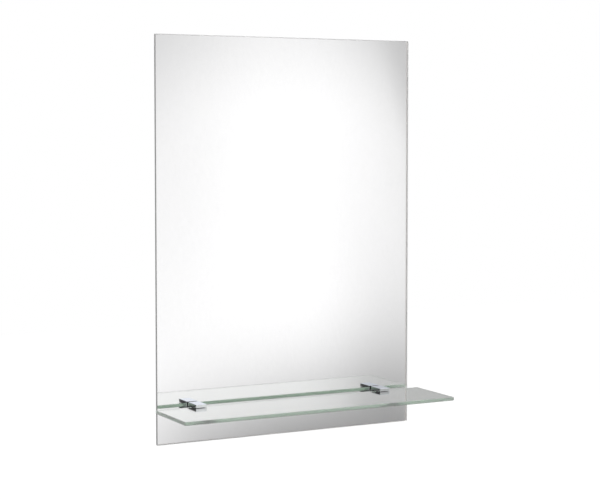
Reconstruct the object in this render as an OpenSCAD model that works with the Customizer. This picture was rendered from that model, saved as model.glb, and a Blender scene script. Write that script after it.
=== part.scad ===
// Wall mirror with a glass shelf held by two chrome clamps.
// X runs left to right, the front faces -Y and the wall is the plane y = 0. Z is up.
// The origin lies on the wall, midway between the round entries of the two hanger keyholes.

/* [Mirror pane] */
// Width of the mirror
mirror_w = 500; // [460:5:600]
// Height of the mirror
mirror_h = 700; // [500:5:900]
// Thickness of the mirror glass
mirror_t = 5; // [4:0.5:6]
// Chamfer ground along every edge of the mirror
mirror_arris = 1; // [0.5:0.1:1.4]
// Radius of the mirror's corners
mirror_corner_r = 2; // [1.5:0.5:10]
// Thickness of the silver coating
silver_t = 0.1; // [0.05:0.05:0.2]
// Thickness of the paint that protects the silver
paint_t = 0.2; // [0.1:0.05:0.4]

/* [Glass shelf] */
// Width of the shelf
shelf_w = 520; // [460:5:640]
// Depth of the shelf, front to back
shelf_d = 125; // [100:1:160]
// Thickness of the shelf
shelf_t = 6; // [5:0.5:8]
// Chamfer polished along every edge of the shelf
shelf_arris = 0.8; // [0.3:0.1:1.2]
// Radius of the shelf's corners
shelf_corner_r = 2; // [1.5:0.5:15]
// Height of the shelf's top face over the bottom edge of the mirror
shelf_rise = 65; // [55:1:150]
// Open gap from the mirror's front to the shelf's back edge
shelf_gap = 17; // [15:0.5:24]

/* [Clamp] */
// Width of each clamp
clamp_w = 20; // [18:0.5:28]
// How far a clamp stands out from the mirror's front
clamp_reach = 33.5; // [32:0.5:45]
// Distance between the middles of the two clamps
clamp_spacing = 364; // [300:2:400]
// Thickness of the upper and the lower jaw
jaw_t = 5.5; // [5:0.1:8]
// Radius of the clamp's outer edges
clamp_edge_r = 0.8; // [0.3:0.1:1.5]
// Radius at the back of the clamp's slot
slot_corner_r = 1; // [0.3:0.1:2]
// Chamfer at the mouth of the slot
slot_lead = 0.2; // [0.1:0.1:0.5]
// Clearance between the shelf's back edge and the end of the slot
slot_end_gap = 0.3; // [0.2:0.1:1]
// Clearance between a clamp and the mirror's front
clamp_mirror_gap = 0.2; // [0.1:0.05:0.4]

/* [Clamp pads] */
// Width of the soft pads
pad_w = 14; // [10:0.5:15]
// Length of the soft pads, front to back
pad_len = 12; // [8:0.5:12.5]
// How far the pads stay behind the clamp's front face
pad_setback = 2; // [1:0.5:2.5]
// Thickness of the upper pad
upper_pad_t = 1.1; // [0.9:0.1:1.5]
// How far a pad stands out of its jaw to meet the shelf
pad_proud = 0.4; // [0.3:0.1:0.8]
// Thickness of the lower pad, bonded to the pressure plate
lower_pad_t = 0.6; // [0.4:0.1:0.8]
// Corner radius of the pads and their pockets
pad_corner_r = 2; // [1:0.5:3]
// Clearance around a pad or plate in its pocket
pad_gap = 0.2; // [0.1:0.05:0.4]

/* [Pressure plate and set screw] */
// Thickness of the pressure plate
plate_t = 1; // [0.8:0.1:1.2]
// How far the pressure plate travels down from the clamped shelf
plate_travel = 1.2; // [0.8:0.1:1.2]
// Clearance under the lowered pressure plate
plate_floor_gap = 0.2; // [0.1:0.05:0.3]
// Radius of the set screw
set_screw_r = 2.5; // [2:0.25:3]
// Length of the set screw
set_screw_len = 4; // [3:0.5:5]
// Width across the flats of the set screw's hex socket
set_socket_af = 2.5; // [2:0.5:3]
// Depth of the set screw's hex socket
set_socket_depth = 2; // [1.5:0.5:2.5]
// Chamfer on the ends of the set screw
set_screw_chamfer = 0.4; // [0.2:0.1:0.6]
// Countersink around the set screw's hole
countersink = 0.4; // [0.2:0.1:0.6]

/* [Fixing through the mirror] */
// Radius of the hole drilled in the mirror
mirror_hole_r = 5; // [4.8:0.1:6]
// Clearance between the sleeve and the hole in the mirror
sleeve_gap = 0.2; // [0.1:0.05:0.4]
// Radius of the fixing bolt
bolt_r = 2.5; // [2:0.25:3]
// Length of the fixing bolt under its head
bolt_len = 16; // [14:1:18]
// Chamfer on the end of the fixing bolt
bolt_chamfer = 0.5; // [0.2:0.1:0.8]
// Radius of the fixing bolt's head
bolt_head_r = 4.75; // [4.5:0.25:6]
// Height of the fixing bolt's head
bolt_head_h = 3; // [2.5:0.1:3.4]
// Width across the flats of the fixing bolt's hex socket
bolt_socket_af = 3; // [2.5:0.5:4]
// Depth of the fixing bolt's hex socket
bolt_socket_depth = 1.6; // [1.2:0.1:2]
// Depth of the threaded hole in the clamp
clamp_hole_depth = 12; // [11:0.5:13]
// Running clearance of the screws in their threads
thread_gap = 0.05; // [0.02:0.01:0.1]
// Clearance of the fixing bolt in the sleeve and washers
bolt_gap = 0.2; // [0.1:0.05:0.4]
// Radius of the clear washer between clamp and mirror
front_washer_r = 7; // [6:0.25:8]
// Thickness of the clear washer between clamp and mirror
front_washer_t = 0.8; // [0.5:0.1:1]
// Radius of the soft washer behind the mirror
soft_washer_r = 9; // [8:0.5:12]
// Thickness of the soft washer behind the mirror
soft_washer_t = 1; // [0.5:0.1:1.2]
// Radius of the steel washer behind the mirror
steel_washer_r = 8; // [7:0.5:11]
// Thickness of the steel washer behind the mirror
steel_washer_t = 1.2; // [0.8:0.1:1.6]
// Chamfer around the steel washer's face on the wall side
steel_washer_chamfer = 0.4; // [0.2:0.1:0.6]

/* [Hanger plates] */
// Distance from the wall to the painted back of the mirror
standoff = 8; // [7.5:0.5:12]
// Distance between the middles of the two hanger plates
hanger_spacing = 300; // [200:5:360]
// Height of the mirror's top edge over the keyhole entries
hanger_drop = 90; // [60:5:150]
// Width of a hanger plate over both glued flanges
hanger_w = 64; // [56:1:80]
// Height of a hanger plate
hanger_h = 60; // [50:1:80]
// Thickness of the hanger's steel sheet
sheet_t = 1.2; // [0.8:0.1:1.5]
// Width of the hanger's raised web
web_w = 30; // [26:1:36]
// Sideways run of each slope between web and flange
slope_run = 4; // [2:0.5:6]
// Inner radius of the bends in the hanger's sheet
bend_r = 1.2; // [0.6:0.1:1.6]
// Corner radius of a hanger plate
hanger_corner_r = 4; // [2:0.5:8]
// Radius of the keyhole's round entry
keyhole_entry_r = 5.5; // [5:0.25:6.5]
// Radius of the keyhole's narrow end, where the wall screw seats
keyhole_slot_r = 3; // [2.25:0.25:3.5]
// Rise from the keyhole's entry to the seat of the wall screw
keyhole_rise = 14; // [10:1:18]
// Thickness of the foam tape under the flanges
tape_t = 1; // [0.8:0.1:1.5]
// How far the foam tape stays inside the flange edges
tape_margin = 1.5; // [1:0.5:3]

/* [Bumpers] */
// Radius of the bumpers at the mirror's lower corners
bumper_r = 10; // [7:0.5:13]
// Radius of the bumper's rounded rim on the wall side
bumper_rim_r = 2; // [1:0.5:3]
// Distance from the mirror's side edges to a bumper's middle
bumper_inset_x = 25; // [20:1:40]
// Distance from the mirror's bottom edge to a bumper's middle
bumper_inset_z = 25; // [20:1:28]

/* [Hidden] */
$fn = 64;
left = -1;
right = 1;
over = 1;

// Layers of the pane, from the wall to the front
paint_y = -standoff;
silver_y = paint_y - paint_t;
glass_y = silver_y - silver_t;
front_y = glass_y - mirror_t;
pane_z = hanger_drop - mirror_h / 2;
pane_bottom_z = hanger_drop - mirror_h;
coat_w = mirror_w - 2 * mirror_arris;
coat_h = mirror_h - 2 * mirror_arris;

// The shelf, whose mid-plane is also the height of the clamps
shelf_z = pane_bottom_z + shelf_rise - shelf_t / 2;
shelf_y = front_y - shelf_gap - shelf_d / 2;
clamp_x = clamp_spacing / 2;

// The clamp, measured from its middle height and from the mirror's front
slot_h = shelf_t + 2 * pad_proud;
clamp_h = slot_h + 2 * jaw_t;
clamp_d = clamp_reach - clamp_mirror_gap;
clamp_mid_y = -clamp_mirror_gap - clamp_d / 2;
slot_end_y = slot_end_gap - shelf_gap;
pad_mid_y = -clamp_reach + pad_setback + pad_len / 2;
pocket_w = pad_w + 2 * pad_gap;
pocket_len = pad_len + 2 * pad_gap;
lower_stack_t = lower_pad_t + plate_t;
plate_pocket_depth = lower_stack_t - pad_proud + plate_travel + plate_floor_gap;
sleeve_len = mirror_t + silver_t + paint_t;

// The hanger plate
hat_h = standoff - tape_t;
slope_rise = hat_h - sheet_t;
bend_angle = atan2(slope_rise, slope_run);
bend_steps = 6;
web_half = web_w / 2;
flange_start = web_half + slope_run;
tape_w = hanger_w / 2 - flange_start - 2 * tape_margin;
tape_h = hanger_h - 2 * tape_margin;

// Colours, as red, green and blue
chrome_colour = [0.8, 0.81, 0.84];
steel_colour = [0.66, 0.67, 0.68];
glass_colour = [0.74, 0.86, 0.8, 0.45];
silver_colour = [0.92, 0.93, 0.94];
paint_colour = [0.42, 0.44, 0.45];
pad_colour = [0.14, 0.14, 0.15];
nylon_colour = [0.9, 0.9, 0.87];
foam_colour = [0.93, 0.93, 0.91];
bumper_colour = [0.6, 0.61, 0.62];

// ---- Outlines and prisms ----

// Rectangle with rounded corners, on its middle
module rounded_outline(w, h, r) {
    square([w - 2 * r, h], center = true);
    square([w, h - 2 * r], center = true);
    for (sx = [-1, 1], sy = [-1, 1])
        translate([sx * (w / 2 - r), sy * (h / 2 - r)])
            circle(r);
}

// Rectangle with its corners cut off at 45 degrees, on its middle
module cut_outline(w, h, c) {
    polygon([
        [w / 2 - c, h / 2], [w / 2, h / 2 - c],
        [w / 2, c - h / 2], [w / 2 - c, -h / 2],
        [c - w / 2, -h / 2], [-w / 2, c - h / 2],
        [-w / 2, h / 2 - c], [c - w / 2, h / 2]
    ]);
}

// Prism along X: the outline's x runs along Y and its y along Z
module along_x(len) {
    rotate([90, 0, 90])
        linear_extrude(len, center = true)
            children();
}

// Prism along Y: the outline's x runs along X and its y along Z
module along_y(len) {
    rotate([90, 0, 0])
        linear_extrude(len, center = true)
            children();
}

// Ring or rod along Y that starts at y = 0 and runs to the front
module ring_to_front(r, len) {
    rotate([90, 0, 0])
        cylinder(h = len, r = r);
}

// Glass plate lying flat, with rounded corners and every edge chamfered
module glass_plate(w, d, t, r, c) {
    along_x(w - 2 * r)
        cut_outline(d, t, c);
    along_y(d - 2 * r)
        cut_outline(w, t, c);
    for (sx = [-1, 1], sy = [-1, 1])
        translate([sx * (w / 2 - r), sy * (d / 2 - r), 0])
            rotate_extrude()
                polygon([
                    [0, -t / 2], [r - c, -t / 2], [r, c - t / 2],
                    [r, t / 2 - c], [r - c, t / 2], [0, t / 2]
                ]);
}

// Both holes of the clamp fixings, through the pane and its coatings
module clamp_holes() {
    for (side = [left, right])
        translate([side * clamp_x, paint_y + over, shelf_z])
            ring_to_front(mirror_hole_r, sleeve_len + 2 * over);
}

// Thin coating behind the pane, inside its ground edges
module coating(y, t) {
    difference() {
        translate([0, y - t / 2, pane_z])
            along_y(t)
                rounded_outline(coat_w, coat_h, mirror_corner_r);
        clamp_holes();
    }
}

// Places a piece of a clamp: y = 0 is the mirror's front, z = 0 the clamp's middle
module at_clamp(side) {
    translate([side * clamp_x, front_y, shelf_z])
        children();
}

// Places a piece of a hanger plate: the origin is its keyhole's entry on the wall
module at_hanger(side) {
    translate([side * hanger_spacing / 2, 0, 0])
        children();
}

// ---- Glass ----

module mirror_glass() {
    color(glass_colour)
        difference() {
            translate([0, glass_y - mirror_t / 2, pane_z])
                rotate([90, 0, 0])
                    glass_plate(mirror_w, mirror_h, mirror_t, mirror_corner_r, mirror_arris);
            clamp_holes();
        }
}

module silver_coating() {
    color(silver_colour)
        coating(silver_y, silver_t);
}

module backing_paint() {
    color(paint_colour)
        coating(paint_y, paint_t);
}

module shelf_glass() {
    color(glass_colour)
        translate([0, shelf_y, shelf_z])
            glass_plate(shelf_w, shelf_d, shelf_t, shelf_corner_r, shelf_arris);
}

// ---- Clamp ----

// Side view of the clamp: a block with a slot for the shelf, open to the front
module clamp_side() {
    mouth = slot_h / 2 + slot_lead;
    slot_len = clamp_reach + slot_end_y + 2 * slot_corner_r;
    difference() {
        translate([clamp_mid_y, 0])
            rounded_outline(clamp_d, clamp_h, clamp_edge_r);
        translate([slot_end_y - slot_len / 2, 0])
            rounded_outline(slot_len, slot_h, slot_corner_r);
        polygon([
            [-clamp_reach - over, mouth], [-clamp_reach, mouth],
            [slot_lead - clamp_reach, slot_h / 2], [slot_lead - clamp_reach, -slot_h / 2],
            [-clamp_reach, -mouth], [-clamp_reach - over, -mouth]
        ]);
    }
}

// Pocket cut into a jaw from the slot, for the pad or the pressure plate
module pad_pocket(z, depth) {
    translate([0, pad_mid_y, z])
        linear_extrude(depth)
            rounded_outline(pocket_w, pocket_len, pad_corner_r + pad_gap);
}

// Blind hole with a drilled point, from the clamp's back towards the slot
module clamp_bolt_hole() {
    r = bolt_r + thread_gap;
    translate([0, over, 0])
        ring_to_front(r, clamp_hole_depth + over);
    translate([0, -clamp_hole_depth, 0])
        rotate([90, 0, 0])
            cylinder(h = r / 2, r1 = r, r2 = 0);
}

// Threaded hole through the lower jaw, countersunk at both ends
module set_screw_hole() {
    r = set_screw_r + thread_gap;
    translate([0, pad_mid_y, -clamp_h / 2]) {
        translate([0, 0, -over])
            cylinder(h = jaw_t + over, r = r);
        cylinder(h = countersink, r1 = r + countersink, r2 = r);
    }
}

module clamp_body() {
    color(chrome_colour)
        difference() {
            intersection() {
                along_x(clamp_w)
                    clamp_side();
                translate([0, clamp_mid_y, 0])
                    linear_extrude(clamp_h, center = true)
                        rounded_outline(clamp_w, clamp_d, clamp_edge_r);
                translate([0, clamp_mid_y, 0])
                    along_y(clamp_d)
                        rounded_outline(clamp_w, clamp_h, clamp_edge_r);
            }
            pad_pocket(slot_h / 2 - over, upper_pad_t - pad_proud + over);
            pad_pocket(-slot_h / 2 - plate_pocket_depth, plate_pocket_depth + over);
            ring_to_front(front_washer_r + pad_gap, front_washer_t);
            clamp_bolt_hole();
            set_screw_hole();
        }
}

module upper_pad() {
    color(pad_colour)
        translate([0, pad_mid_y, shelf_t / 2])
            linear_extrude(upper_pad_t)
                rounded_outline(pad_w, pad_len, pad_corner_r);
}

module lower_pad() {
    color(pad_colour)
        translate([0, pad_mid_y, -shelf_t / 2 - lower_pad_t])
            linear_extrude(lower_pad_t)
                rounded_outline(pad_w, pad_len, pad_corner_r);
}

module pressure_plate() {
    color(steel_colour)
        translate([0, pad_mid_y, -shelf_t / 2 - lower_stack_t])
            linear_extrude(plate_t)
                rounded_outline(pad_w, pad_len, pad_corner_r);
}

// Headless screw under the pressure plate, turned with a hex key from below
module set_screw() {
    c = set_screw_chamfer;
    color(steel_colour)
        translate([0, pad_mid_y, -shelf_t / 2 - lower_stack_t - set_screw_len])
            difference() {
                rotate_extrude()
                    polygon([
                        [0, 0], [set_screw_r - c, 0], [set_screw_r, c],
                        [set_screw_r, set_screw_len - c],
                        [set_screw_r - c, set_screw_len], [0, set_screw_len]
                    ]);
                translate([0, 0, -over])
                    cylinder(h = set_socket_depth + over, d = set_socket_af / cos(30), $fn = 6);
            }
}

// ---- Fixing through the mirror ----

// Flat ring around the fixing bolt, its wall side at y, measured from the mirror's front
module bolt_ring(y, r, len) {
    translate([0, y, 0])
        difference() {
            ring_to_front(r, len);
            translate([0, over, 0])
                ring_to_front(bolt_r + bolt_gap, len + 2 * over);
        }
}

module front_washer() {
    color(nylon_colour)
        bolt_ring(0, front_washer_r, front_washer_t);
}

module hole_sleeve() {
    color(nylon_colour)
        bolt_ring(sleeve_len, mirror_hole_r - sleeve_gap, sleeve_len);
}

module soft_washer() {
    color(pad_colour)
        bolt_ring(sleeve_len + soft_washer_t, soft_washer_r, soft_washer_t);
}

// Stamped washer with a chamfer towards the bolt's head
module steel_washer() {
    r_in = bolt_r + bolt_gap;
    c = steel_washer_chamfer;
    color(steel_colour)
        translate([0, sleeve_len + soft_washer_t + steel_washer_t, 0])
            rotate([90, 0, 0])
                rotate_extrude()
                    polygon([
                        [r_in, 0], [steel_washer_r - c, 0], [steel_washer_r, c],
                        [steel_washer_r, steel_washer_t], [r_in, steel_washer_t]
                    ]);
}

// Low round-headed bolt from behind, with a hex socket
module clamp_bolt() {
    dome_r = (bolt_head_r * bolt_head_r + bolt_head_h * bolt_head_h) / (2 * bolt_head_h);
    color(steel_colour)
        translate([0, sleeve_len + soft_washer_t + steel_washer_t, 0]) {
            rotate([90, 0, 0])
                rotate_extrude()
                    polygon([
                        [0, 0], [bolt_r, 0], [bolt_r, bolt_len - bolt_chamfer],
                        [bolt_r - bolt_chamfer, bolt_len], [0, bolt_len]
                    ]);
            difference() {
                intersection() {
                    translate([0, bolt_head_h - dome_r, 0])
                        sphere(dome_r);
                    translate([0, bolt_head_h, 0])
                        ring_to_front(bolt_head_r, bolt_head_h);
                }
                translate([0, bolt_head_h + over, 0])
                    rotate([90, 0, 0])
                        cylinder(h = bolt_socket_depth + over, d = bolt_socket_af / cos(30), $fn = 6);
            }
        }
}

// ---- Hanging parts behind the mirror ----

// Points along an arc around (x, y), from one angle to another
function arc(x, y, r, from, to) = [
    for (i = [0 : bend_steps])
        let (a = from + (to - from) * i / bend_steps)
            [x + r * cos(a), y + r * sin(a)]
];

// Section of the pressed hanger: two glued flanges, two slopes and a raised web
module hat_section() {
    outer_r = bend_r + sheet_t;
    web_x = web_half - outer_r * tan(bend_angle / 2);
    flange_x = flange_start + bend_r * tan(bend_angle / 2);
    right_half = concat(
        arc(web_x, -outer_r, outer_r, 90, 90 - bend_angle),
        arc(flange_x, bend_r - slope_rise, bend_r, 270 - bend_angle, 270),
        [[hanger_w / 2, -slope_rise], [hanger_w / 2, -hat_h]],
        arc(flange_x, bend_r - slope_rise, outer_r, 270, 270 - bend_angle),
        arc(web_x, -outer_r, bend_r, 90 - bend_angle, 90)
    );
    left_half = [for (i = [len(right_half) - 1 : -1 : 0]) [-right_half[i][0], right_half[i][1]]];
    polygon(concat(right_half, left_half));
}

// Keyhole through the web: a round entry below and a narrow seat above
module keyhole() {
    cut = sheet_t + 2 * over;
    translate([0, over, 0])
        ring_to_front(keyhole_entry_r, cut);
    translate([0, over, keyhole_rise])
        ring_to_front(keyhole_slot_r, cut);
    translate([-keyhole_slot_r, over - cut, 0])
        cube([2 * keyhole_slot_r, cut, keyhole_rise]);
}

module hanger_plate() {
    color(steel_colour)
        difference() {
            intersection() {
                linear_extrude(hanger_h, center = true)
                    hat_section();
                translate([0, -hat_h / 2, 0])
                    along_y(hat_h + 2 * over)
                        rounded_outline(hanger_w, hanger_h, hanger_corner_r);
            }
            keyhole();
        }
}

// Two strips of foam tape that glue the flanges to the paint
module hanger_tape() {
    color(foam_colour)
        for (side = [left, right])
            translate([side * (flange_start + hanger_w / 2) / 2, tape_t / 2 - standoff, 0])
                cube([tape_w, tape_t, tape_h], center = true);
}

// Soft foot that keeps the mirror's lower edge off the wall
module bumper() {
    color(bumper_colour)
        rotate([90, 0, 0])
            rotate_extrude() {
                translate([0, bumper_rim_r])
                    square([bumper_r, standoff - bumper_rim_r]);
                square([bumper_r - bumper_rim_r, standoff]);
                translate([bumper_r - bumper_rim_r, bumper_rim_r])
                    circle(bumper_rim_r);
            }
}

module at_bumper(side) {
    x = side * (mirror_w / 2 - bumper_inset_x);
    translate([x, 0, pane_bottom_z + bumper_inset_z])
        children();
}

// ---- The assembly ----

mirror_glass();
silver_coating();
backing_paint();
shelf_glass();
at_clamp(left) clamp_body();  // left_clamp_body
at_clamp(right) clamp_body();  // right_clamp_body
at_clamp(left) upper_pad();  // left_upper_pad
at_clamp(right) upper_pad();  // right_upper_pad
at_clamp(left) pressure_plate();  // left_pressure_plate
at_clamp(right) pressure_plate();  // right_pressure_plate
at_clamp(left) lower_pad();  // left_lower_pad
at_clamp(right) lower_pad();  // right_lower_pad
at_clamp(left) set_screw();  // left_set_screw
at_clamp(right) set_screw();  // right_set_screw
at_clamp(left) front_washer();  // left_front_washer
at_clamp(right) front_washer();  // right_front_washer
at_clamp(left) hole_sleeve();  // left_hole_sleeve
at_clamp(right) hole_sleeve();  // right_hole_sleeve
at_clamp(left) soft_washer();  // left_soft_washer
at_clamp(right) soft_washer();  // right_soft_washer
at_clamp(left) steel_washer();  // left_steel_washer
at_clamp(right) steel_washer();  // right_steel_washer
at_clamp(left) clamp_bolt();  // left_clamp_bolt
at_clamp(right) clamp_bolt();  // right_clamp_bolt
at_hanger(left) hanger_plate();  // left_hanger_plate
at_hanger(right) hanger_plate();  // right_hanger_plate
at_hanger(left) hanger_tape();  // left_hanger_tape
at_hanger(right) hanger_tape();  // right_hanger_tape
at_bumper(left) bumper();  // left_bumper
at_bumper(right) bumper();  // right_bumper
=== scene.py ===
import math

import bmesh
import bpy
from mathutils import Matrix, Vector


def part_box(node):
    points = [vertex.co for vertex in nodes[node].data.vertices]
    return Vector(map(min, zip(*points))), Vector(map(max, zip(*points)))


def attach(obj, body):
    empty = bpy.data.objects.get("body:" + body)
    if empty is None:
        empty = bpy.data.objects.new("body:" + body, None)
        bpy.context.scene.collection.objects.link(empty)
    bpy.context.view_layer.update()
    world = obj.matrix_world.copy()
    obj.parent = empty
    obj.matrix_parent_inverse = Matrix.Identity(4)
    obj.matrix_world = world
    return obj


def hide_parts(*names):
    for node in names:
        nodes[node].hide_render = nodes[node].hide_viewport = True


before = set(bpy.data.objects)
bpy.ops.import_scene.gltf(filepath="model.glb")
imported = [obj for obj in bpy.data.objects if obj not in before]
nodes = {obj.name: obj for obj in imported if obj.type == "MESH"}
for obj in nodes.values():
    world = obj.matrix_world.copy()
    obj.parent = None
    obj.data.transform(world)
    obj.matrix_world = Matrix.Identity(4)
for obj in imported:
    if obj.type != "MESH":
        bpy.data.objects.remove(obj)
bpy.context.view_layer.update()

# Lengths are in metres. +X is the viewer's right, -Y comes out of the wall, +Z is up.
MM = 0.001

# Places and sizes of the CAD pieces, read from the frame
silver_low, silver_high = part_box("silver_coating")
shelf_low, shelf_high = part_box("shelf_glass")
sleeve_low, sleeve_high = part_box("right_hole_sleeve")
shelf_middle_z = (shelf_low.z + shelf_high.z) / 2
# The fixings lie this far to each side of the mirror's middle, at this height
fixing_x = (sleeve_low.x + sleeve_high.x) / 2
fixing_z = (sleeve_low.z + sleeve_high.z) / 2

PANE_CORNER_RADIUS = 2 * MM
FIXING_HOLE_RADIUS = 5 * MM
# The silver reaches this far into the back of the glass, so that no gap shows between them
SILVER_BOND = 0.01 * MM
# Half the height of the slot in the clamps, with a little to spare
SLOT_HALF_HEIGHT = 3.5 * MM

WHITE = (1.0, 1.0, 1.0, 1.0)

# ---- Shader building ----


def place(tree, kind, inputs=None, **settings):
    """Adds a shader node; each input is a value or another node's output."""
    made = tree.nodes.new("ShaderNode" + kind)
    for name, value in settings.items():
        setattr(made, name, value)
    for name, value in (inputs or {}).items():
        if isinstance(value, bpy.types.NodeSocket):
            tree.links.new(value, made.inputs[name])
        else:
            made.inputs[name].default_value = value
    return made


def maths(tree, operation, *values):
    """Adds a Math node and returns its result."""
    return place(tree, "Math", dict(enumerate(values)), operation=operation).outputs[0]


def split(tree, vector):
    """Returns a vector's X, Y and Z."""
    return place(tree, "SeparateXYZ", {0: vector}).outputs


def blend_colours(tree, share, first, second, mode="MIX"):
    """Mixes two colours and returns the result."""
    inputs = {0: share, 6: first, 7: second}
    return place(tree, "Mix", inputs, data_type="RGBA", blend_type=mode).outputs[2]


def ramp(tree, value, low, high, out_low=0.0, out_high=1.0, smooth=True):
    """Maps a value from low..high to out_low..out_high, held at the ends."""
    style = "SMOOTHSTEP" if smooth else "LINEAR"
    inputs = {
        "Value": value, "From Min": low, "From Max": high,
        "To Min": out_low, "To Max": out_high,
    }
    return place(tree, "MapRange", inputs, interpolation_type=style).outputs["Result"]


def effect(name, inputs, outputs):
    """Starts a shader group with named sockets; returns it with its two ends."""
    tree = bpy.data.node_groups.new(name, "ShaderNodeTree")
    for label, kind, value in inputs:
        socket = tree.interface.new_socket(label, in_out="INPUT", socket_type="NodeSocket" + kind)
        if value is not None:
            socket.default_value = value
    for label, kind in outputs:
        tree.interface.new_socket(label, in_out="OUTPUT", socket_type="NodeSocket" + kind)
    given = tree.nodes.new("NodeGroupInput").outputs
    made = tree.nodes.new("NodeGroupOutput").inputs
    return tree, given, made


def use(tree, group, inputs):
    """Places a shader group in a material and returns its outputs."""
    made = tree.nodes.new("ShaderNodeGroup")
    made.node_tree = group
    for name, value in inputs.items():
        if isinstance(value, bpy.types.NodeSocket):
            tree.links.new(value, made.inputs[name])
        else:
            made.inputs[name].default_value = value
    return made.outputs


def finish_called(name):
    """Starts a material; returns it with its tree, its surface shader and object coordinates."""
    made = bpy.data.materials.new(name)
    made.use_nodes = True
    tree = made.node_tree
    tree.nodes.clear()
    out = tree.nodes.new("ShaderNodeOutputMaterial")
    surface = tree.nodes.new("ShaderNodeBsdfPrincipled")
    tree.links.new(surface.outputs["BSDF"], out.inputs["Surface"])
    here = tree.nodes.new("ShaderNodeTexCoord").outputs["Object"]
    return made, tree, surface, here


def facing(tree):
    """The direction that a material's surface faces in."""
    return tree.nodes["Texture Coordinate"].outputs["Normal"]


def feed(tree, surface, **inputs):
    """Sets or links the shader's inputs, written with underscores for spaces."""
    for name, value in inputs.items():
        socket = surface.inputs[name.replace("_", " ")]
        if isinstance(value, bpy.types.NodeSocket):
            tree.links.new(value, socket)
        else:
            socket.default_value = value


# ---- Effects that several finishes share ----

# Each limit is a normal's part along an axis: 1 faces along it, 0 across it.
# A plate's two large faces are over this along its thickness
LARGE_FACE = 0.9
# An arris is within this range of this slant
ARRIS_SLANT = -0.7
ARRIS_RANGE = 0.2
# Upright sides are over this along X
SIDE_FACE = 0.5
# The clamps' tops are over this along Z
TOP_FACE = 0.7
# The clamps' backs are over this along Y
BACK_FACE = 0.95
# Noise runs around its middle, and little of it lies outside these two
NOISE_MIDDLE = 0.5
NOISE_LOW = 0.3
NOISE_HIGH = 0.7


def make_haze():
    """Faint wipe marks and specks of dust on a polished face."""
    tree, given, made = effect(
        "haze",
        [("Vector", "Vector", None), ("Clean roughness", "Float", 0.0),
         ("Hazy roughness", "Float", 0.02), ("Scale", "Float", 12.0)],
        [("Roughness", "Float"), ("Mask", "Float")],
    )
    wipe_angle = math.radians(24)
    stretched = place(tree, "Mapping", {
        "Vector": given["Vector"], "Rotation": (0.0, wipe_angle, 0.0), "Scale": (1.0, 1.0, 0.22),
    }).outputs[0]
    wipes = place(tree, "TexNoise", {
        "Vector": stretched, "Scale": given["Scale"], "Detail": 5.0, "Roughness": 0.62,
    }).outputs["Fac"]
    wiped = ramp(tree, wipes, low=0.5, high=0.74)
    specks = place(tree, "TexNoise", {
        "Vector": given["Vector"], "Scale": 900.0, "Detail": 1.0,
    }).outputs["Fac"]
    dusty = ramp(tree, specks, low=0.74, high=0.8)
    dust_strength = 0.7
    mask = maths(tree, "MAXIMUM", wiped, maths(tree, "MULTIPLY", dusty, dust_strength))
    tree.links.new(mask, made["Mask"])
    rough = ramp(tree, mask, 0.0, 1.0, given["Clean roughness"], given["Hazy roughness"], smooth=False)
    tree.links.new(rough, made["Roughness"])
    return tree


def make_mottle():
    """Soft two-tone variation of a surface, with a fine grain over it."""
    tree, given, made = effect(
        "mottle",
        [("Vector", "Vector", None), ("Light", "Color", None), ("Dark", "Color", None),
         ("Patch scale", "Float", 60.0), ("Grain scale", "Float", 1500.0), ("Grain", "Float", 0.4)],
        [("Color", "Color"), ("Height", "Float")],
    )
    patches = place(tree, "TexNoise", {
        "Vector": given["Vector"], "Scale": given["Patch scale"], "Detail": 4.0, "Roughness": 0.6,
    }).outputs["Fac"]
    grain = place(tree, "TexNoise", {
        "Vector": given["Vector"], "Scale": given["Grain scale"], "Detail": 2.0,
    }).outputs["Fac"]
    offset = maths(tree, "MULTIPLY", maths(tree, "SUBTRACT", grain, NOISE_MIDDLE), given["Grain"])
    share = ramp(tree, maths(tree, "ADD", patches, offset), NOISE_LOW, NOISE_HIGH)
    tree.links.new(blend_colours(tree, share, given["Dark"], given["Light"]), made["Color"])
    tree.links.new(grain, made["Height"])
    return tree


def make_brushing():
    """Fine lines drawn along one axis, as rolling or brushing leaves them."""
    tree, given, made = effect(
        "brushing",
        [("Vector", "Vector", None), ("Across", "Vector", (1.0, 1.0, 0.02)), ("Scale", "Float", 900.0)],
        [("Fac", "Float")],
    )
    inputs = {0: given["Vector"], 1: given["Across"]}
    drawn = place(tree, "VectorMath", inputs, operation="MULTIPLY").outputs[0]
    lines = place(tree, "TexNoise", {
        "Vector": drawn, "Scale": given["Scale"], "Detail": 3.0, "Roughness": 0.7,
    }).outputs["Fac"]
    tree.links.new(lines, made["Fac"])
    return tree


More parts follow.
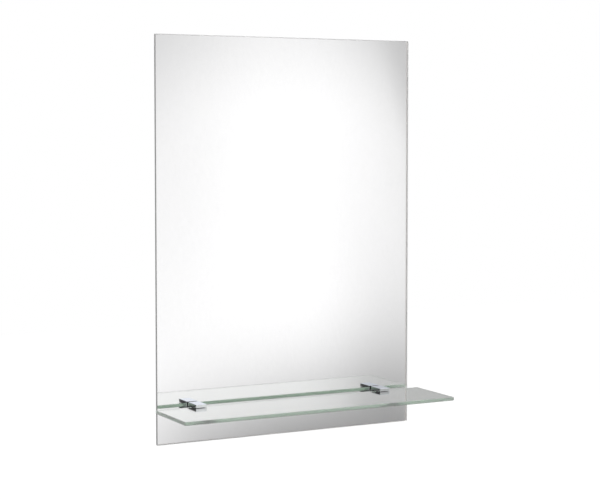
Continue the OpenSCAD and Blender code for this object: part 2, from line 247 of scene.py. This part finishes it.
def make_ground_edge():
    """Masks of a plate's narrow faces, one arris and left side, with the grain of grinding; the arris
    and left-side masks are where finishes put painted shade.

    The arris is the one that faces against the thickness axis: the pane's front arris and
    the shelf's lower one.
    """
    tree, given, made = effect(
        "ground_edge",
        [("Vector", "Vector", None), ("Normal", "Vector", None),
         ("Thickness axis", "Vector", (0.0, 1.0, 0.0))],
        [("Mask", "Float"), ("Arris", "Float"), ("Left", "Float"), ("Grain", "Float")],
    )
    inputs = {0: given["Normal"], 1: given["Thickness axis"]}
    slant = place(tree, "VectorMath", inputs, operation="DOT_PRODUCT").outputs["Value"]
    narrow = maths(tree, "LESS_THAN", maths(tree, "ABSOLUTE", slant), LARGE_FACE)
    tree.links.new(narrow, made["Mask"])
    arris = maths(tree, "COMPARE", slant, ARRIS_SLANT, ARRIS_RANGE)
    tree.links.new(arris, made["Arris"])
    # The left side's mask, where painted shade can go
    sideways = maths(tree, "ABSOLUTE", split(tree, given["Normal"])["X"])
    upright = maths(tree, "GREATER_THAN", sideways, SIDE_FACE)
    left_half = maths(tree, "LESS_THAN", split(tree, given["Vector"])["X"], 0.0)
    tree.links.new(maths(tree, "MULTIPLY", upright, left_half), made["Left"])
    grain = place(tree, "TexNoise", {
        "Vector": given["Vector"], "Scale": 800.0, "Detail": 3.0, "Roughness": 0.6,
    }).outputs["Fac"]
    tree.links.new(grain, made["Grain"])
    return tree


haze = make_haze()
mottle = make_mottle()
brushing = make_brushing()
ground_edge = make_ground_edge()

# ---- Finishes ----

GLASS_IOR = 1.52
# The glass takes (1 - tint) x density out of each colour per metre
GLASS_DENSITY = 8.0
GLASS_TINT = (0.4, 0.59, 0.42, 1.0)
# A rough coat with a strong reflection makes the ground edges scatter light
GROUND_COAT_ROUGHNESS = 0.6
GROUND_COAT_IOR = 3.0
# The grain varies the roughness of the ground edges by this share
GROUND_VARIATION = 0.2


def clear_glass(name, thickness_axis, hazy_roughness, edge_roughness, edge_tint,
                arris_painted_shade=WHITE, arris_polish=0.0, left_painted_shade=WHITE):
    """Float glass: clear through its faces, green along its length, satin on its ground edges.

    One arris can be polished and darkened with painted shade, and the left side can be darkened with
    painted shade.
    """
    made, tree, surface, here = finish_called(name)
    marks = use(tree, haze, {
        "Vector": here, "Clean roughness": 0.0, "Hazy roughness": hazy_roughness, "Scale": 9.0,
    })
    edge = use(tree, ground_edge, {
        "Vector": here, "Normal": facing(tree), "Thickness axis": thickness_axis,
    })
    finest = edge_roughness * (1 - GROUND_VARIATION)
    coarsest = edge_roughness * (1 + GROUND_VARIATION)
    satin = ramp(tree, edge["Grain"], NOISE_LOW, NOISE_HIGH, finest, coarsest)
    polish = maths(tree, "MULTIPLY", edge["Arris"], arris_polish)
    scatter = maths(tree, "SUBTRACT", edge["Mask"], polish)
    rough = ramp(tree, scatter, 0.0, 1.0, marks["Roughness"], satin, smooth=False)
    tint = blend_colours(tree, edge["Mask"], WHITE, edge_tint)
    # Painted shade: a dark colour on the arris
    tint = blend_colours(tree, edge["Arris"], tint, arris_painted_shade)
    # Painted shade: a dark colour multiplied onto the left side
    tint = blend_colours(tree, edge["Left"], tint, left_painted_shade, mode="MULTIPLY")
    feed(tree, surface, Base_Color=tint, Roughness=rough,
         IOR=GLASS_IOR, Transmission_Weight=1.0,
         Coat_Weight=scatter, Coat_Roughness=GROUND_COAT_ROUGHNESS, Coat_IOR=GROUND_COAT_IOR)
    inside = place(tree, "VolumeAbsorption", {"Color": GLASS_TINT, "Density": GLASS_DENSITY})
    out = tree.nodes["Material Output"]
    tree.links.new(inside.outputs[0], out.inputs["Volume"])
    return made


def silvering():
    """The reflecting layer, with a faint unevenness in its tone."""
    made, tree, surface, here = finish_called("silvering")
    cloud_share = 0.15
    duller = (0.96, 0.943, 0.96, 1.0)
    brighter = (0.98, 0.962, 0.98, 1.0)
    cloud = place(tree, "TexNoise", {"Vector": here, "Scale": 5.0, "Detail": 3.0}).outputs["Fac"]
    lines = use(tree, brushing, {"Vector": here, "Across": (1.0, 1.0, 0.4), "Scale": 300.0})["Fac"]
    cloudy = maths(tree, "MULTIPLY", cloud, cloud_share)
    lined = maths(tree, "MULTIPLY", lines, 1 - cloud_share)
    share = ramp(tree, maths(tree, "ADD", cloudy, lined), NOISE_LOW, NOISE_HIGH)
    tone = blend_colours(tree, share, duller, brighter)
    feed(tree, surface, Base_Color=tone, Metallic=1.0, Roughness=0.0)
    return made


def chrome_plate():
    """Bright chrome with a trace of wipe marks, a painted blue sky reflection on its tops, and painted
    shade, dark and rough, on its back and inside its slot.
    """
    made, tree, surface, here = finish_called("chrome")
    bright = (0.755, 0.768, 0.782, 1.0)
    # Painted reflection: a bluer tone for the tops, as if they reflected a blue sky
    painted_sky_top = (0.75, 0.812, 0.93, 1.0)
    wiped = (0.5, 0.51, 0.53, 1.0)
    wiped_share = 0.3
    # Painted shade: near black for the clamp's back and the inside of its slot, where little light
    # reaches
    back_and_slot_shade = (0.07, 0.07, 0.075, 1.0)
    back_and_slot_roughness = 0.5
    marks = use(tree, haze, {
        "Vector": here, "Clean roughness": 0.03, "Hazy roughness": 0.09, "Scale": 70.0,
    })
    faces = split(tree, facing(tree))
    back = maths(tree, "GREATER_THAN", faces["Y"], BACK_FACE)
    in_slot = maths(tree, "COMPARE", split(tree, here)["Z"], shelf_middle_z, SLOT_HALF_HEIGHT)
    on_side = maths(tree, "GREATER_THAN", maths(tree, "ABSOLUTE", faces["X"]), SIDE_FACE)
    # The inside of the slot, at its height but not on the clamp's outer sides, takes painted shade
    shaded_slot = maths(tree, "GREATER_THAN", maths(tree, "SUBTRACT", in_slot, on_side), 0.5)
    # Painted shade goes on the back and inside the slot
    shaded_parts = maths(tree, "MAXIMUM", back, shaded_slot)
    # Painted reflection: faces turned upwards take the bluer tone
    upward = maths(tree, "GREATER_THAN", faces["Z"], TOP_FACE)
    tone = blend_colours(tree, upward, bright, painted_sky_top)
    tone = blend_colours(tree, maths(tree, "MULTIPLY", marks["Mask"], wiped_share), tone, wiped)
    # The shaded parts take the painted shade colour and a rougher finish
    tone = blend_colours(tree, shaded_parts, tone, back_and_slot_shade)
    rough = ramp(tree, shaded_parts, 0.0, 1.0, marks["Roughness"], back_and_slot_roughness, smooth=False)
    skin = place(tree, "TexNoise", {"Vector": here, "Scale": 260.0, "Detail": 1.0}).outputs["Fac"]
    bump = place(tree, "Bump", {"Height": skin, "Strength": 0.05, "Distance": 0.02 * MM})
    feed(tree, surface, Base_Color=tone, Metallic=1.0, Roughness=rough, Normal=bump.outputs[0])
    return made


def zinc_plate():
    """Zinc-plated sheet and fasteners: drawn lines under a faint bluish crystal pattern."""
    made, tree, surface, here = finish_called("zinc_plate")
    dull = (0.52, 0.53, 0.56, 1.0)
    bright = (0.72, 0.73, 0.75, 1.0)
    lines = use(tree, brushing, {"Vector": here, "Across": (1.0, 1.0, 0.03), "Scale": 1400.0})["Fac"]
    crystals = place(tree, "TexVoronoi", {"Vector": here, "Scale": 180.0}).outputs["Color"]
    flake = place(tree, "SeparateColor", {"Color": crystals}).outputs[0]
    half_flake = maths(tree, "MULTIPLY", flake, 0.5)
    half_lines = maths(tree, "MULTIPLY", lines, 0.5)
    share = maths(tree, "ADD", half_flake, half_lines)
    tone = blend_colours(tree, share, dull, bright)
    rough = ramp(tree, share, 0.2, 0.8, out_low=0.24, out_high=0.42)
    bump = place(tree, "Bump", {"Height": lines, "Strength": 0.25, "Distance": 0.03 * MM})
    feed(tree, surface, Base_Color=tone, Metallic=1.0, Roughness=rough, Normal=bump.outputs[0])
    return made


def soft_finish(name, light, dark, roughness, grain_scale, grain_depth):
    """A matt moulded or sprayed finish with a fine grain."""
    made, tree, surface, here = finish_called(name)
    look = use(tree, mottle, {
        "Vector": here, "Light": light, "Dark": dark,
        "Patch scale": 70.0, "Grain scale": grain_scale, "Grain": 0.5,
    })
    bump = place(tree, "Bump", {"Height": look["Height"], "Strength": 0.5, "Distance": grain_depth})
    feed(tree, surface, Base_Color=look["Color"], Roughness=roughness, Normal=bump.outputs[0])
    return made


def back_paint():
    """Grey paint that protects the silver, rolled on in vertical passes."""
    made, tree, surface, here = finish_called("back_paint")
    pass_tone = (0.3, 0.315, 0.32, 1.0)
    pass_share = 0.3
    look = use(tree, mottle, {
        "Vector": here, "Light": (0.222, 0.236, 0.242, 1.0), "Dark": (0.196, 0.208, 0.214, 1.0),
        "Patch scale": 22.0, "Grain scale": 700.0, "Grain": 0.35,
    })
    passes = use(tree, brushing, {"Vector": here, "Across": (1.0, 1.0, 0.05), "Scale": 90.0})["Fac"]
    tone = blend_colours(tree, maths(tree, "MULTIPLY", passes, pass_share), look["Color"], pass_tone)
    height = maths(tree, "ADD", look["Height"], passes)
    bump = place(tree, "Bump", {"Height": height, "Strength": 0.35, "Distance": 0.05 * MM})
    rough = ramp(tree, passes, NOISE_LOW, NOISE_HIGH, out_low=0.38, out_high=0.5)
    feed(tree, surface, Base_Color=tone, Roughness=rough, Normal=bump.outputs[0])
    return made


# The pane's left side takes near-black painted shade
pane_glass = clear_glass(
    "pane_glass", thickness_axis=(0.0, 1.0, 0.0), hazy_roughness=0.012, edge_roughness=0.7,
    edge_tint=(0.76, 0.7, 0.66, 1.0), left_painted_shade=(0.1, 0.1, 0.1, 1.0))
# The shelf's lower arris takes dark green painted shade, and is polished
shelf_glass = clear_glass(
    "shelf_glass", thickness_axis=(0.0, 0.0, 1.0), hazy_roughness=0.02, edge_roughness=0.4,
    edge_tint=(0.86, 1.0, 0.9, 1.0), arris_painted_shade=(0.1, 0.16, 0.12, 1.0), arris_polish=0.9)
chrome = chrome_plate()
zinc = zinc_plate()
pad_rubber = soft_finish(
    "pad_rubber", light=(0.05, 0.05, 0.052, 1.0), dark=(0.028, 0.028, 0.03, 1.0),
    roughness=0.62, grain_scale=2200.0, grain_depth=0.05 * MM)
nylon = soft_finish(
    "nylon", light=(0.84, 0.83, 0.79, 1.0), dark=(0.76, 0.75, 0.7, 1.0),
    roughness=0.38, grain_scale=900.0, grain_depth=0.02 * MM)
foam = soft_finish(
    "foam_tape", light=(0.86, 0.86, 0.84, 1.0), dark=(0.7, 0.7, 0.68, 1.0),
    roughness=0.9, grain_scale=1600.0, grain_depth=0.2 * MM)
bumper_rubber = soft_finish(
    "bumper_rubber", light=(0.36, 0.37, 0.38, 1.0), dark=(0.3, 0.31, 0.32, 1.0),
    roughness=0.5, grain_scale=1400.0, grain_depth=0.04 * MM)
paint = back_paint()

WEARS = {
    "mirror_glass": pane_glass,
    "shelf_glass": shelf_glass,
    "backing_paint": paint,
    "clamp_body": chrome,
    "upper_pad": pad_rubber,
    "lower_pad": pad_rubber,
    "soft_washer": pad_rubber,
    "pressure_plate": zinc,
    "set_screw": zinc,
    "steel_washer": zinc,
    "clamp_bolt": zinc,
    "hanger_plate": zinc,
    "front_washer": nylon,
    "hole_sleeve": nylon,
    "hanger_tape": foam,
    "bumper": bumper_rubber,
}

for name, piece in nodes.items():
    kind = name.removeprefix("left_").removeprefix("right_")
    if kind in WEARS:
        piece.data.materials.clear()
        piece.data.materials.append(WEARS[kind])

# ---- Pieces ----


def finished_piece(bm, name, finish):
    """Makes an object of the mesh, with its place in the mesh."""
    data = bpy.data.meshes.new(name)
    bm.to_mesh(data)
    bm.free()
    piece = bpy.data.objects.new(name, data)
    bpy.context.scene.collection.objects.link(piece)
    piece.data.materials.append(finish)
    return piece


def silver_layer():
    """The silver, bonded to the back of the pane, with its two drilled holes."""
    size = silver_high - silver_low
    middle = (silver_low + silver_high) / 2
    bm = bmesh.new()
    # The outline and the holes are drawn flat, filled between them and given their thickness
    bmesh.ops.create_grid(bm, x_segments=1, y_segments=1, size=0.5)
    bmesh.ops.scale(bm, vec=(size.x, size.z, 1.0), verts=bm.verts)
    bmesh.ops.bevel(bm, geom=bm.verts[:], offset=PANE_CORNER_RADIUS, affect="VERTICES",
                    segments=6, profile=0.5, material=-1)
    bmesh.ops.delete(bm, geom=bm.faces[:], context="FACES_ONLY")
    for side in (-1, 1):
        at = Matrix.Translation((side * fixing_x, fixing_z - middle.z, 0.0))
        bmesh.ops.create_circle(bm, cap_ends=False, segments=48, radius=FIXING_HOLE_RADIUS, matrix=at)
    bmesh.ops.triangle_fill(bm, use_beauty=True, use_dissolve=False, edges=bm.edges[:])
    made = bmesh.ops.extrude_face_region(bm, geom=bm.faces[:])
    moved = [item for item in made["geom"] if isinstance(item, bmesh.types.BMVert)]
    bmesh.ops.translate(bm, vec=(0.0, 0.0, size.y + SILVER_BOND), verts=moved)
    # Then the layer is stood up, with its rear face where the CAD has it
    upright = Matrix.Rotation(math.radians(90), 3, "X")
    bmesh.ops.rotate(bm, cent=(0, 0, 0), matrix=upright, verts=bm.verts)
    bmesh.ops.translate(bm, vec=(middle.x, silver_high.y, middle.z), verts=bm.verts)
    bmesh.ops.recalc_face_normals(bm, faces=bm.faces)
    piece = finished_piece(bm, "silver_layer", silvering())
    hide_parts("silver_coating")
    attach(piece, "mirror")


silver_layer()

# ---- Studio ----

# Level of the studio where no panel lies, and its level on matt surfaces
STUDIO_BASE = 0.75
DAYLIGHT = 0.8
# Soft panels of the studio. Bearings run from straight out in front of the mirror towards
# its right, in degrees. Each row gives the sizes named below, then the panel's level, and
# later panels lie over earlier ones.
PANEL_SIZES = (
    "Middle bearing", "Middle elevation", "Half width", "Half height",
    "Feather sideways", "Feather upwards", "Tilt",
)
# What shows through the clear glass:
ROOM = {
    "wall_behind": (180.0, 0.0, 75.0, 60.0, 25.0, 30.0, 0.0, 0.5),
    "floor": (0.0, -75.0, 181.0, 30.0, 1.0, 25.0, 0.0, 1.0),
    "ceiling": (0.0, 90.0, 181.0, 25.0, 1.0, 35.0, 0.0, 1.1),
}
# What the mirror, the shelf and the chrome reflect besides:
STUDIO = {
    "side_card": (112.0, 0.0, 15.0, 40.0, 12.0, 25.0, 0.0, 1.3),
    "left_card": (-150.0, -5.0, 16.0, 30.0, 12.0, 25.0, 0.0, 0.85),
    "ceiling_softbox": (24.4, 12.4, 3.9, 3.7, 3.0, 6.5, -18.4, 1.0),
    "dim_corner": (36.2, 4.3, 0.0, 1.9, 8.5, 5.1, -26.0, 0.0),
    "grey_flag": (28.4, -12.1, 2.9, 7.8, 3.9, 13.5, 27.7, 0.28),
    "fill_card": (18.1, -7.6, 2.7, 2.4, 6.3, 18.3, -56.3, 1.04),
    "main_softbox": (27.2, -2.8, 0.4, 2.6, 6.8, 7.1, -1.5, 1.13),
    "upper_flag": (32.1, 6.2, 0.7, 3.9, 1.5, 6.3, 11.3, 0.63),
}
# A soft box in front of a grey flat, set up again at each bearing that another view reflects:
SPARE_BEARINGS = (-62.0, -31.0, -3.0, 62.0)
for bearing in SPARE_BEARINGS:
    STUDIO["flat_at_%d" % bearing] = (bearing, -6.0, 7.0, 20.0, 7.0, 14.0, 0.0, 0.6)
    STUDIO["softbox_at_%d" % bearing] = (bearing, -3.0, 0.5, 3.0, 8.0, 13.0, 14.0, 1.1)
# Cards that only what is reflected twice shows, such as the clamps' sides:
CARDS = {
    "white_card": (-3.0, -2.0, 8.0, 12.0, 6.0, 12.0, 0.0, 1.1),
    "dark_card": (-28.0, 0.0, 7.0, 13.0, 8.0, 9.0, 0.0, 0.08),
}


def soft_share(tree, distance, half_size, feather):
    """1 within half a size of the middle, falling to 0 over the feather beyond it."""
    end = maths(tree, "ADD", half_size, feather)
    return ramp(tree, maths(tree, "ABSOLUTE", distance), end, half_size)


def make_panel():
    """Share of a soft studio panel in a direction."""
    tree, given, made = effect(
        "soft_panel",
        [(label, "Float", 0.0) for label in ("Bearing", "Elevation") + PANEL_SIZES],
        [("Share", "Float")],
    )
    away = maths(tree, "SUBTRACT", given["Bearing"], given["Middle bearing"])
    aside = maths(tree, "WRAP", away, 180.0, -180.0)
    above = maths(tree, "SUBTRACT", given["Elevation"], given["Middle elevation"])
    turn = maths(tree, "RADIANS", given["Tilt"])
    cosine = maths(tree, "COSINE", turn)
    sine = maths(tree, "SINE", turn)
    aside_part = maths(tree, "MULTIPLY", aside, cosine)
    along = maths(tree, "ADD", aside_part, maths(tree, "MULTIPLY", above, sine))
    above_part = maths(tree, "MULTIPLY", above, cosine)
    up = maths(tree, "SUBTRACT", above_part, maths(tree, "MULTIPLY", aside, sine))
    sideways = soft_share(tree, along, given["Half width"], given["Feather sideways"])
    upwards = soft_share(tree, up, given["Half height"], given["Feather upwards"])
    tree.links.new(maths(tree, "MULTIPLY", sideways, upwards), made["Share"])
    return tree


def add_panels(tree, group, level, panels, bearing, elevation):
    """Lays these panels over a level, in their order, and returns the new level."""
    for numbers in panels.values():
        inputs = dict(zip(PANEL_SIZES, numbers))
        inputs.update({"Bearing": bearing, "Elevation": elevation})
        share = use(tree, group, inputs)["Share"]
        level = ramp(tree, share, 0.0, 1.0, level, numbers[-1], smooth=False)
    return level


def studio_world():
    """White to the camera, a plain level on matt surfaces, soft panels in glass and metal."""
    world = bpy.data.worlds.new("studio")
    bpy.context.scene.world = world
    world.use_nodes = True
    tree = world.node_tree
    tree.nodes.clear()
    axes = split(tree, place(tree, "TexCoord").outputs["Generated"])
    ahead = maths(tree, "MULTIPLY", axes["Y"], -1.0)
    bearing = maths(tree, "DEGREES", maths(tree, "ARCTAN2", axes["X"], ahead))
    elevation = maths(tree, "DEGREES", maths(tree, "ARCSINE", axes["Z"]))
    panel = make_panel()
    through = add_panels(tree, panel, STUDIO_BASE, ROOM, bearing, elevation)
    once = add_panels(tree, panel, through, STUDIO, bearing, elevation)
    twice = add_panels(tree, panel, once, CARDS, bearing, elevation)
    rays = place(tree, "LightPath").outputs
    level = ramp(tree, rays["Glossy Depth"], 0.0, 1.0, through, once, smooth=False)
    level = ramp(tree, rays["Glossy Depth"], 1.0, 2.0, level, twice, smooth=False)
    mirrored = maths(tree, "MAXIMUM", rays["Is Glossy Ray"], rays["Is Transmission Ray"])
    plain = ramp(tree, rays["Is Camera Ray"], 0.0, 1.0, DAYLIGHT, 1.0, smooth=False)
    strength = ramp(tree, mirrored, 0.0, 1.0, plain, level, smooth=False)
    sky = place(tree, "Background", {"Color": WHITE, "Strength": strength})
    out = tree.nodes.new("ShaderNodeOutputWorld")
    tree.links.new(sky.outputs[0], out.inputs["Surface"])


FLOOR_Z = -1.35
FLOOR_HALF_SIZE = 7.0
# The camera sees the floor as this share of a glow of this strength; the rest takes the shadow
FLOOR_GLOW_SHARE = 0.75
FLOOR_GLOW = 1.12


def pale_floor():
    """A pale floor that is white to the camera and keeps the object's shadow."""
    made, tree, surface, _ = finish_called("pale_floor")
    feed(tree, surface, Base_Color=(0.86, 0.86, 0.85, 1.0), Roughness=0.9)
    glow = place(tree, "Emission", {"Color": WHITE, "Strength": FLOOR_GLOW})
    camera_ray = place(tree, "LightPath").outputs["Is Camera Ray"]
    share = maths(tree, "MULTIPLY", camera_ray, FLOOR_GLOW_SHARE)
    lit = place(tree, "MixShader", {0: share, 1: surface.outputs[0], 2: glow.outputs[0]})
    below = place(tree, "NewGeometry").outputs["Backfacing"]
    unseen = place(tree, "BsdfTransparent")
    both = place(tree, "MixShader", {0: below, 1: lit.outputs[0], 2: unseen.outputs[0]})
    tree.links.new(both.outputs[0], tree.nodes["Material Output"].inputs["Surface"])
    bm = bmesh.new()
    bmesh.ops.create_grid(bm, x_segments=1, y_segments=1, size=FLOOR_HALF_SIZE)
    bmesh.ops.translate(bm, vec=(0.0, 0.0, FLOOR_Z), verts=bm.verts)
    floor = finished_piece(bm, "floor", made)
    floor.visible_glossy = False
    floor.visible_transmission = False


# The lamps face the middle of the mirror
LAMP_TARGET = (0.0, 0.0, -0.3)


def soft_lamp(name, place_at, size, watts):
    """A square soft lamp that faces the mirror."""
    data = bpy.data.lights.new(name, "AREA")
    data.size = size
    data.energy = watts
    lamp = bpy.data.objects.new(name, data)
    lamp.location = place_at
    aim = Vector(LAMP_TARGET) - Vector(place_at)
    lamp.rotation_euler = aim.to_track_quat("-Z", "Y").to_euler()
    bpy.context.scene.collection.objects.link(lamp)


studio_world()
pale_floor()
soft_lamp("key_lamp", place_at=(-2.4, -2.0, 2.4), size=1.4, watts=45.0)
soft_lamp("back_lamp", place_at=(1.8, 2.6, 2.2), size=1.6, watts=40.0)

# ---- Camera ----

# Where the photograph was taken from: metres, and degrees right of straight on and upwards
CAMERA_AT = (-1.2812, -2.4916, -0.0702)
CAMERA_YAW = 27.8
CAMERA_PITCH = -3.292
SENSOR_WIDTH_MM = 36.0
LENS_MM = 94.99
LENS_SHIFT = -0.05


def camera():
    """The photograph's view, with its upright lines kept nearly upright by a small shift."""
    data = bpy.data.cameras.new("camera")
    data.sensor_width = SENSOR_WIDTH_MM
    data.lens = LENS_MM
    data.shift_y = LENS_SHIFT
    made = bpy.data.objects.new("camera", data)
    made.location = CAMERA_AT
    made.rotation_euler = (math.radians(90 + CAMERA_PITCH), 0.0, math.radians(-CAMERA_YAW))
    bpy.context.scene.collection.objects.link(made)
    bpy.context.scene.camera = made


camera()

scene = bpy.context.scene
scene.view_settings.view_transform = "Standard"
# Enough bounces for light to go through the panes, off the silver and back
scene.cycles.max_bounces = 24
scene.cycles.glossy_bounces = 16
scene.cycles.transmission_bounces = 20
scene.cycles.transparent_max_bounces = 16
